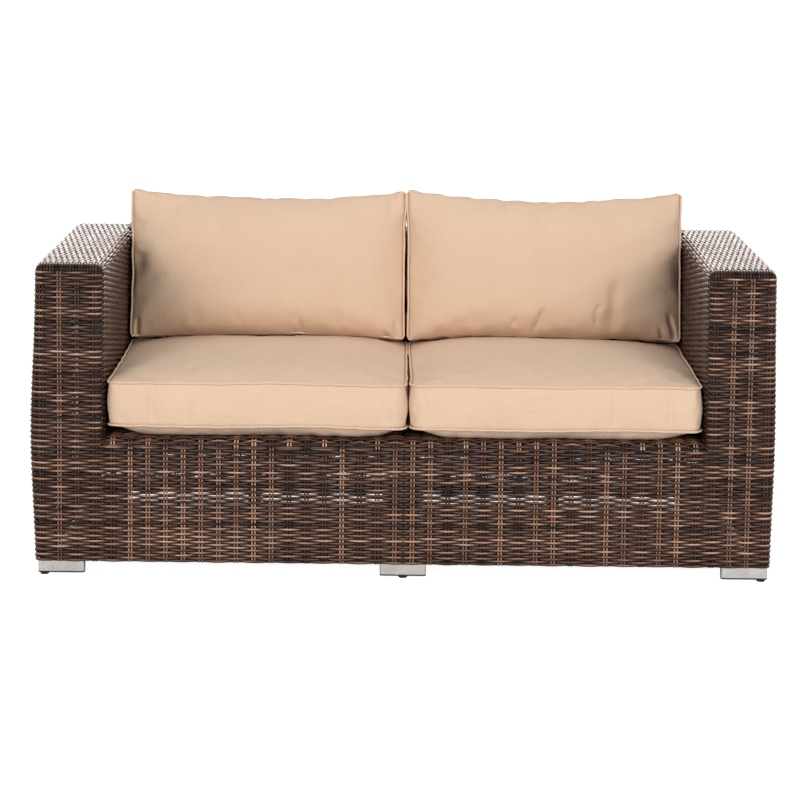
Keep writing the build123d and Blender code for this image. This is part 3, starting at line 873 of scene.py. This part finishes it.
# Plain finishes for the tube, feet, fasteners, pads, foam and zips, which keep their solids
# Colour, metal, roughness, grain and depth of relief
plainFinishes = {
    "frame_tube": ((0.060, 0.036, 0.028), 0.0, 0.45, 700.0, 0.00008),
    "foot_metal": ((0.97, 0.90, 0.83), 1.0, 0.38, 260.0, 0.00003),
    "foot_cap": ((0.012, 0.012, 0.012), 0.0, 0.55, 900.0, 0.00005),
    "foot_plate": ((0.46, 0.46, 0.45), 1.0, 0.40, 500.0, 0.00004),
    "screw": ((0.55, 0.55, 0.54), 1.0, 0.32, 900.0, 0.00003),
    "insert": ((0.62, 0.44, 0.20), 1.0, 0.35, 900.0, 0.00003),
    "leveller": ((0.010, 0.010, 0.011), 0.0, 0.50, 900.0, 0.00005),
    "foam": ((0.84, 0.79, 0.66), 0.0, 0.95, 420.0, 0.0006),
    "zip": ((0.50, 0.36, 0.24), 0.0, 0.70, 1100.0, 0.0002),
    "zip_slider": ((0.34, 0.31, 0.27), 0.6, 0.38, 900.0, 0.00005),
}
plain = {
    "patches": 30.0,
    "darker": 0.82,  # the grain's darkest and lightest shade, as shares of the colour
    "lighter": 1.12,
    "stops": (0.3, 0.7),
    "glossSpread": 0.14,
    "relief": 0.4,
}


def makePlainMaterial(name, colour, metal, roughness, fine, reliefDepth):
    # A finish with its own grain in colour, gloss and relief
    material, tree, shader = newMaterial(name, roughness)
    shader.inputs["Metallic"].default_value = metal
    grain, patches = grainOf(tree, fine, plain["patches"])
    mixed = mathNode(tree, "MULTIPLY_ADD", grain, 0.5, mathNode(tree, "MULTIPLY", patches, 0.5))
    low = tuple(plain["darker"] * c for c in colour)
    high = tuple(min(1.0, plain["lighter"] * c) for c in colour)
    stops = zip(plain["stops"], (low, high))
    tree.links.new(colourRamp(tree, mixed, stops), shader.inputs["Base Color"])
    unevenGloss(tree, shader, patches, roughness, plain["glossSpread"])
    addBump(tree, shader, grain, plain["relief"], reliefDepth)
    return material


def slotOf(node):
    for part in frame["record"]["subparts"]:
        if part["node"] == node:
            return part["material_slot"]
    return None


def finishNodes():
    made = {slot: makePlainMaterial(slot, *look) for slot, look in plainFinishes.items()}
    for node in frame["nodes"]:
        slot = slotOf(node)
        if slot in made:
            piece = frame["nodes"][node]
            piece.data.materials.clear()
            piece.data.materials.append(made[slot])


finishNodes()
print("frame, feet and fastener finishes ready")

# Fabric of the cushions: fine ribs across the first direction of the piece's own map
fabric = {
    "colour": (0.78, 0.575, 0.42),
    "shade": (0.66, 0.45, 0.31),
    "roughness": 0.85,
    "ribPitch": 0.0034,
    "ribHeight": 0.0006,
    "sheen": 0.10,
    "sheenRoughness": 0.5,
    "gloss": 0.15,
    "grain": 1100.0,
    "patches": 9.0,
    "grainShare": 0.9,  # shares of the shade
    "ribShare": 0.06,
    "patchShare": 0.2,
    "stops": (0.2, 0.7),
    "relief": 0.5,
}
pipingPitch = 0.0045


def makeFabricMaterial(name, look):
    material, tree, shader = newMaterial(name, look["roughness"])
    place = tree.nodes.new("ShaderNodeUVMap")
    parts = tree.nodes.new("ShaderNodeSeparateXYZ")
    tree.links.new(place.outputs["UV"], parts.inputs[0])
    turns = mathNode(tree, "MULTIPLY", parts.outputs["X"], 2 * pi / look["ribPitch"])
    rib = mathNode(tree, "SINE", turns)
    grain, patches = grainOf(tree, look["grain"], look["patches"])
    speck = mathNode(tree, "MULTIPLY", grain, look["grainShare"])
    ribbed = mathNode(tree, "MULTIPLY_ADD", rib, look["ribShare"], speck)
    patchesAndPaintedLight = mathNode(tree, "MULTIPLY", patches, look["patchShare"])
    mixed = mathNode(tree, "ADD", ribbed, patchesAndPaintedLight, clamp=True)
    stops = zip(look["stops"], (look["shade"], look["colour"]))
    tree.links.new(colourRamp(tree, mixed, stops), shader.inputs["Base Color"])
    shader.inputs["Sheen Weight"].default_value = look["sheen"]
    shader.inputs["Sheen Roughness"].default_value = look["sheenRoughness"]
    shader.inputs["Specular IOR Level"].default_value = look["gloss"]
    addBump(tree, shader, mathNode(tree, "MULTIPLY_ADD", rib, 0.5, grain), look["relief"], look["ribHeight"])
    return material


fabricMaterial = makeFabricMaterial("ribbedFabric", fabric)
pipingMaterial = makeFabricMaterial("pipingFabric", {**fabric, "ribPitch": pipingPitch})

# Cushions in metres, as they lie: a runs right, b back or up, c out of the face that shows
seatCushion = {
    "boxing": 0.092, "crown": 0.024, "crownSides": 3.5, "crownNear": 3.5, "crownFar": 3.5,
    "crownRound": 1.0, "under": 0.0265, "underSides": 5.0, "underEnds": 26.0, "rest": 0.0235,
    "corner": 0.028, "sideDraw": 0.002, "farDraw": 0.003, "farSide": -1, "farEars": 0.0, "nearEars": 0.0,
    "swell": 0.0035, "cap": 0.009, "lean": None, "roll": 0.0, "beadSunk": 0.0,
}
backCushion = {
    "boxing": 0.088, "crown": 0.050, "crownSides": 3.4, "crownNear": 7.0, "crownFar": 2.2,
    "crownRound": 0.62, "under": 0.0145, "underSides": 6.0, "underEnds": 6.0, "rest": 0.0118,
    "corner": 0.007, "sideDraw": 0.0035, "farDraw": 0.026, "farSide": 1, "farEars": 0.30, "nearEars": 0.008,
    "swell": 0.003, "cap": 0.010, "lean": 8.0,
    "roll": 0.009,  # the face turns back towards its upper seam by this much
    "beadSunk": 1.6,  # the upper and lower front beads lie back in the fabric, in bead radii
}
# Where the covers reach: to the arms, and to each other a little right of the middle
extents = {
    "seat": {"outer": 0.6290, "meet": 0.0080, "flare": 0.0045},
    "back": {"outer": 0.6293, "meet": 0.0015, "flare": 0.0},
}
padding = {
    "gap": 0.0008,
    "meshStep": 0.0085,
    "frames": 20,
    "rollFrom": 0.45,  # from here towards the far seam the face rolls back
    "earPower": 14,  # how late the far seam rises to its ears, and the near one
    "nearPower": 6,
    "beadReach": 0.006,  # the solid bead's reach past the boxing
    "beadFlats": 0.87,  # its reach across its flats, as a share of that
    "bead": 0.0024,
    "sunkPower": 3,
    "flareReach": 0.035,
    "flarePower": 4,
    "deckGap": 0.0003,
    "seed": 40,
    "sideSeed": 7,
}
clothSettings = {
    "quality": 5,
    "mass": 0.3,
    "use_pressure": True,
    "uniform_pressure_force": 4.0,
    "vertex_group_mass": "seams",
    "shrink_min": -0.012,
    "tension_stiffness": 25,
    "compression_stiffness": 25,
    "shear_stiffness": 8,
    "bending_stiffness": 0.8,
}


def cushionAxes(kind):
    lean = radians(backCushion["lean"])
    if kind == "seat":
        return np.eye(3)
    return np.array([[1, 0, 0], [0, sin(lean), cos(lean)], [0, -cos(lean), sin(lean)]])


def outlineAt(size, u, v):
    # From a square, -1 to 1, to the seam's outline: round corners and drawn-in sides
    ring = np.maximum(np.abs(u), np.abs(v))
    halfA, halfB = size["width"] / 2, size["height"] / 2
    radius = size["corner"] * ring
    a, b = np.abs(u) * halfA, np.abs(v) * halfB
    overA, overB = a - (ring * halfA - radius), b - (ring * halfB - radius)
    inCorner = (overA > 0) & (overB > 0) & (radius > 0)
    safe = np.where(radius > 0, radius, 1.0)
    sideFirst = np.abs(u) >= np.abs(v)
    part = np.where(sideFirst, overB, overA) / safe
    angle = np.where(sideFirst, part * pi / 4, pi / 2 - part * pi / 4)
    a = np.where(inCorner, ring * halfA - radius + radius * np.cos(angle), a)
    b = np.where(inCorner, ring * halfB - radius + radius * np.sin(angle), b)
    draw = np.where(np.sign(v) == size["farSide"], size["farDraw"], 0.0)
    ears = size["farEars"]
    alongB, alongA = b / halfB, a / halfA
    a = a - np.abs(u) * size["sideDraw"] * (1 - alongB**2)
    sag = (1 - ears) * (1 - alongA**2) + ears * (1 - alongA ** padding["earPower"])
    b = b - np.abs(v) * draw * sag
    b = b + np.maximum(-v, 0) * size["nearEars"] * alongA ** padding["nearPower"]
    return np.sign(u) * a, np.sign(v) * b


def crownShare(u, v, sidePower, endPower, roundness):
    swell = (1 - np.abs(u) ** sidePower) * (1 - np.abs(v) ** endPower)
    return np.maximum(swell, 0) ** roundness


def cushionBlank(size):
    # A crowned panel on each side of a strip of boxing: places, quads and the ribs' own map
    countU = int(round(size["width"] / padding["meshStep"]))
    countV = int(round(size["height"] / padding["meshStep"]))
    rows = int(round(size["boxing"] / padding["meshStep"]))
    u, v = np.meshgrid(np.linspace(-1, 1, countU + 1), np.linspace(-1, 1, countV + 1), indexing="ij")
    a, b = outlineAt(size, u, v)
    half = size["boxing"] / 2
    endPower = np.where(v < 0, size["crownNear"], size["crownFar"])
    high = half + size["crown"] * crownShare(u, v, size["crownSides"], endPower, size["crownRound"])
    rollFrom = padding["rollFrom"]
    high = high - size["roll"] * np.clip((v - rollFrom) / (1 - rollFrom), 0, 1) ** 2
    top = np.stack([a, b, high], -1)
    low = -half - size["under"] * crownShare(u, v, size["underSides"], size["underEnds"], 1.0)
    low = np.maximum(low, -half - size["rest"])
    bottom = np.stack([a, b, low], -1)
    order = [(i, 0) for i in range(countU)] + [(countU, j) for j in range(countV)]
    order += [(i, countV) for i in range(countU, 0, -1)] + [(0, j) for j in range(countV, 0, -1)]
    edge = np.array(order)
    index = np.arange((countU + 1) * (countV + 1)).reshape(countU + 1, countV + 1)
    bottomIndex = index + index.size
    rim = top[edge[:, 0], edge[:, 1]][:, :2]
    rimTop = top[edge[:, 0], edge[:, 1]][:, 2]
    ahead, behind = np.roll(rim, -1, 0), np.roll(rim, 1, 0)
    along = ahead - behind
    along /= np.linalg.norm(along, axis=1, keepdims=True)
    outward = np.stack([along[:, 1], -along[:, 0]], -1)
    rings = [index[edge[:, 0], edge[:, 1]]]
    strip = []
    base = 2 * index.size
    for row in range(1, rows):
        share = row / rows
        out = size["swell"] * 4 * share * (1 - share)
        level = rimTop * (1 - share) - half * share
        strip.append(np.concatenate([rim + outward * out, level[:, None]], 1))
        rings.append(base + np.arange(len(rim)))
        base += len(rim)
    rings.append(bottomIndex[edge[:, 0], edge[:, 1]])
    places = np.concatenate([top.reshape(-1, 3), bottom.reshape(-1, 3), *strip])
    quad = np.stack([index[:-1, :-1], index[1:, :-1], index[1:, 1:], index[:-1, 1:]], -1)
    quad = quad.reshape(-1, 4)
    quads = [quad, (quad + index.size)[:, ::-1]]
    maps = [places[q][..., :2] for q in quads]
    distance = np.concatenate([[0], np.cumsum(np.linalg.norm(ahead - rim, axis=1))])
    for upper, lower in zip(rings, rings[1:]):
        wall = np.stack([lower, np.roll(lower, -1), np.roll(upper, -1), upper], -1)
        quads.append(wall)
        across = places[wall][..., 2]
        run = np.stack([distance[:-1], distance[1:], distance[1:], distance[:-1]], -1)
        maps.append(np.stack([across, run], -1))
    seams = np.concatenate([rings[0], rings[-1]])
    return places, np.concatenate(quads), np.concatenate(maps), seams, rim, rimTop, outward


def quadMesh(name, places, quads, mapping):
    mesh = bpy.data.meshes.new(name)
    mesh.from_pydata(places.tolist(), [], quads.tolist())
    layer = mesh.uv_layers.new(name="ribs")
    layer.data.foreach_set("uv", mapping.reshape(-1).astype(np.float32))
    mesh.polygons.foreach_set("use_smooth", np.ones(len(quads), bool))
    piece = bpy.data.objects.new(name, mesh)
    bpy.context.collection.objects.link(piece)
    return piece


def meshPlaces(piece):
    places = np.empty(len(piece.data.vertices) * 3, np.float32)
    piece.data.vertices.foreach_get("co", places)
    return places.reshape(-1, 3).astype(float)


def choose(piece):
    bpy.ops.object.select_all(action="DESELECT")
    piece.select_set(True)
    bpy.context.view_layer.objects.active = piece


def inflate(piece, seams, cap):
    # The fabric swells between its seams, which are held; no point moves further than the cap
    blank = meshPlaces(piece)
    group = piece.vertex_groups.new(name="seams")
    group.add([int(k) for k in seams], 1.0, "REPLACE")
    choose(piece)
    cloth = piece.modifiers.new("cloth", "CLOTH")
    for name, value in clothSettings.items():
        setattr(cloth.settings, name, value)
    cloth.settings.effector_weights.gravity = 0
    cloth.collision_settings.use_collision = False
    for frameNumber in range(1, padding["frames"] + 1):
        bpy.context.scene.frame_set(frameNumber)
    bpy.ops.object.modifier_apply(modifier="cloth")
    bpy.context.scene.frame_set(1)
    moved = meshPlaces(piece) - blank
    far = np.linalg.norm(moved, axis=1, keepdims=True)
    moved *= cap * np.tanh(far / cap) / np.maximum(far, 1e-9)
    piece.data.vertices.foreach_set("co", (blank + moved).astype(np.float32).ravel())
    print(piece.name, "swelled by", round(float(far.max()) * 1000, 1), "mm at most")


def subdivided(piece):
    choose(piece)
    finer = piece.modifiers.new("finer", "SUBSURF")
    finer.levels = finer.render_levels = 1
    bpy.ops.object.modifier_apply(modifier="finer")


def makeBead(name, points, body, node):
    # Closed round bead through the given places
    line = bpy.data.curves.new(name, "CURVE")
    line.dimensions = "3D"
    line.bevel_depth = padding["bead"]
    line.bevel_resolution = 2
    for ring in points:
        spline = line.splines.new("POLY")
        spline.points.add(len(ring) - 1)
        spline.points.foreach_set("co", np.concatenate([ring, np.ones((len(ring), 1))], 1).ravel())
        spline.use_cyclic_u = True
    piece = bpy.data.objects.new(name, line)
    bpy.context.collection.objects.link(piece)
    choose(piece)
    bpy.ops.object.convert(target="MESH")
    piece = bpy.context.object
    bpy.ops.object.shade_smooth()
    piece.data.materials.clear()
    piece.data.materials.append(pipingMaterial)
    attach(piece, body)
    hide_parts(node)
    return piece


frontCorner = -0.352  # where the arms' inner faces begin to round off

# Folds and nicks seen in the fabric: from, to, half width and depth, in a cushion's own a and b
folds = {
    "seat_left": [
        ((-0.15, -0.2), (-0.135, -0.27), 0.012, 0.0025), ((-0.012, -0.2), (0.0, -0.27), 0.014, 0.0025),
        ((0.2, -0.1), (0.26, -0.24), 0.02, 0.003),
    ],
    "seat_right": [
        ((-0.22, -0.12), (-0.17, -0.26), 0.02, 0.003), ((0.08, -0.18), (0.1, -0.27), 0.014, 0.0025),
        ((0.24, -0.16), (0.27, -0.26), 0.016, 0.003),
    ],
    "back_left": [
        ((-0.294, -0.134), (-0.3, -0.176), 0.004, 0.015),
        ((-0.314, -0.13), (-0.322, -0.176), 0.004, 0.012),
        ((-0.311, -0.015), (-0.316, -0.084), 0.009, 0.015),
        ((-0.286, 0.022), (-0.3, -0.042), 0.016, 0.0105),
        ((0.074, -0.134), (0.084, -0.166), 0.005, 0.009), ((0.052, -0.155), (0.082, -0.169), 0.004, 0.006),
        ((0.266, -0.157), (0.286, -0.185), 0.005, 0.0135), ((0.291, -0.132), (0.295, -0.173), 0.004, 0.009),
        ((0.139, 0.14), (0.125, 0.131), 0.004, 0.006), ((0.27, 0.149), (0.261, 0.132), 0.004, 0.006),
        ((-0.247, 0.14), (-0.201, 0.111), 0.016, 0.0075), ((0.075, 0.146), (0.111, 0.119), 0.014, 0.006),
        ((0.286, 0.167), (0.277, 0.114), 0.005, 0.006),
    ],
    "back_right": [
        ((-0.132, 0.146), (-0.118, 0.156), 0.004, 0.006), ((-0.095, 0.149), (-0.082, 0.122), 0.006, 0.0075),
        ((-0.052, 0.143), (-0.031, 0.155), 0.004, 0.006), ((0.054, 0.144), (0.066, 0.153), 0.004, 0.006),
        ((0.098, 0.145), (0.111, 0.159), 0.004, 0.006), ((0.144, 0.15), (0.155, 0.159), 0.004, 0.006),
        ((-0.024, -0.158), (-0.001, -0.105), 0.006, 0.0105),
        ((0.118, -0.136), (0.116, -0.103), 0.005, 0.009),
        ((0.116, -0.103), (0.128, -0.09), 0.005, 0.0075),
        ((-0.068, -0.142), (-0.066, -0.124), 0.005, 0.006),
        ((0.162, -0.034), (0.148, -0.154), 0.014, 0.0105), ((0.282, -0.115), (0.3, -0.17), 0.005, 0.015),
        ((0.309, -0.11), (0.316, -0.17), 0.004, 0.012), ((0.261, -0.143), (0.275, -0.177), 0.004, 0.0105),
        ((0.3, 0.014), (0.309, -0.074), 0.01, 0.0135), ((-0.279, 0.154), (-0.256, 0.127), 0.01, 0.006),
    ],
}
foldEnd = 0.25  # share of a fold's depth at its ends, and of its length over which it deepens

# Upright creases in the front boxing: place along the cushion, half width and depth
creases = {
    "seat_left": [
        (-0.22, 0.006, 0.0063), (-0.144, 0.008, 0.005), (0.02, 0.012, 0.0032), (0.272, 0.01, 0.0054),
    ],
    "seat_right": [
        (-0.262, 0.01, 0.0054), (-0.06, 0.012, 0.0032), (0.12, 0.008, 0.004), (0.238, 0.007, 0.0054),
    ],
}


marking = {"faceFrom": 0.1, "faceSpan": 0.4, "frontDepth": 0.02}


def foldDepth(marks, a, b):
    depthHere = np.zeros_like(a)
    for (a0, b0), (a1, b1), width, deep in marks:
        runA, runB = a1 - a0, b1 - b0
        length = runA * runA + runB * runB
        part = np.clip(((a - a0) * runA + (b - b0) * runB) / length, 0, 1)
        away = np.hypot(a - a0 - part * runA, b - b0 - part * runB)
        ends = np.clip(np.minimum(part, 1 - part) / foldEnd, 0, 1)
        depthHere += deep * (foldEnd + (1 - foldEnd) * ends) * np.exp(-((away / width) ** 2))
    return depthHere


# Paces in radians a metre, reaches and counts of the cover's slow waves, and their longest shift
unevenness = [(9.0, 0.0009, 6), (42.0, 0.00035, 6)]
waveShift = 6.3


def wobble(places, seed):
    # Slow unevenness of a stuffed cover, the same for the cover and its piping
    rolls = np.random.default_rng(seed)
    shift = np.zeros((len(places), 3))
    for pace, reach, count in unevenness:
        for _ in range(count):
            wave = rolls.normal(size=3) * pace
            way = rolls.normal(size=3) * reach
            shift += np.sin(places @ wave + rolls.random() * waveShift)[:, None] * way
    return shift


def flared(places, kind, side):
    # The outer front corners spread where the arms are rounded
    forward = np.clip((frontCorner - places[:, 1]) / padding["flareReach"], 0, 1)
    outer = np.clip(places[:, 0] * sides[side] / extents[kind]["outer"], 0, 1) ** padding["flarePower"]
    places[:, 0] += sides[side] * extents[kind]["flare"] * forward * outer
    return places


def marked(local, size, name):
    # Folds press into the face, and creases into the front boxing
    half = size["boxing"] / 2
    onFace = np.clip((local[:, 2] - half * marking["faceFrom"]) / (half * marking["faceSpan"]), 0, 1)
    local[:, 2] -= foldDepth(folds[name], local[:, 0], local[:, 1]) * onFace
    onFront = np.clip(1 - (local[:, 1] + size["height"] / 2) / marking["frontDepth"], 0, 1)
    onFront = onFront * np.clip(1 - (local[:, 2] / half) ** 2, 0, 1)
    for spot, width, deep in creases.get(name, []):
        local[:, 1] += deep * np.exp(-(((local[:, 0] - spot) / width) ** 2)) * onFront
    return local


def makeCushion(kind, side, seed):
    name = f"{kind}_cushion_{side}"
    size = dict(seatCushion if kind == "seat" else backCushion)
    lowest, highest = (np.array(corner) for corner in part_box(f"{name}_piping"))
    middle = (lowest + highest) / 2
    axes = cushionAxes(kind)
    reach = 2 * padding["beadReach"]
    meet = extents[kind]["meet"] + sides[side] * padding["gap"] / 2
    ends = sorted([sides[side] * extents[kind]["outer"], meet])
    middle[0] = (ends[0] + ends[1]) / 2
    size["width"] = ends[1] - ends[0] - 4 * padding["bead"]
    if kind == "seat":
        size["height"] = highest[1] - lowest[1] - reach
    else:
        spread = highest[2] - lowest[2]
        lean = radians(size["lean"])
        thick = size["boxing"] + padding["beadReach"] * padding["beadFlats"]
        size["height"] = (spread - thick * sin(lean)) / cos(lean) - reach
    places, quads, mapping, seams, rim, rimTop, outward = cushionBlank(size)
    piece = quadMesh(f"{name}_fabric", places, quads, mapping)
    inflate(piece, seams, size["cap"])
    subdivided(piece)
    local = meshPlaces(piece)
    local = marked(local, size, f"{kind}_{side}")
    half = size["boxing"] / 2
    local += wobble(local, seed)
    local[:, 2] = np.maximum(local[:, 2], -half - size["rest"] + padding["deckGap"])
    world = flared(local @ axes + middle, kind, side)
    piece.data.vertices.foreach_set("co", world.astype(np.float32).ravel())
    piece.data.update()
    piece.data.materials.append(fabricMaterial)
    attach(piece, name)
    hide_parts(f"{name}_cover")
    rings = []
    sunk = size["beadSunk"] * np.abs(outward[:, 1]) ** padding["sunkPower"]
    for level, depthIn in ((rimTop, 1 - sunk), (np.full(len(rim), -half), np.ones(len(rim)))):
        level = level - padding["bead"] * (1 - depthIn)
        ring = np.concatenate([rim + outward * padding["bead"] * depthIn[:, None], level[:, None]], 1)
        ring += wobble(ring, seed)
        rings.append(flared(ring @ axes + middle, kind, side))
    makeBead(f"{name}_bead", rings, name, f"{name}_piping")
    return piece


for kind in ("seat", "back"):
    for k, side in enumerate(sides):
        makeCushion(kind, side, padding["seed"] + padding["sideSeed"] * k + len(kind))
print("cushions ready")
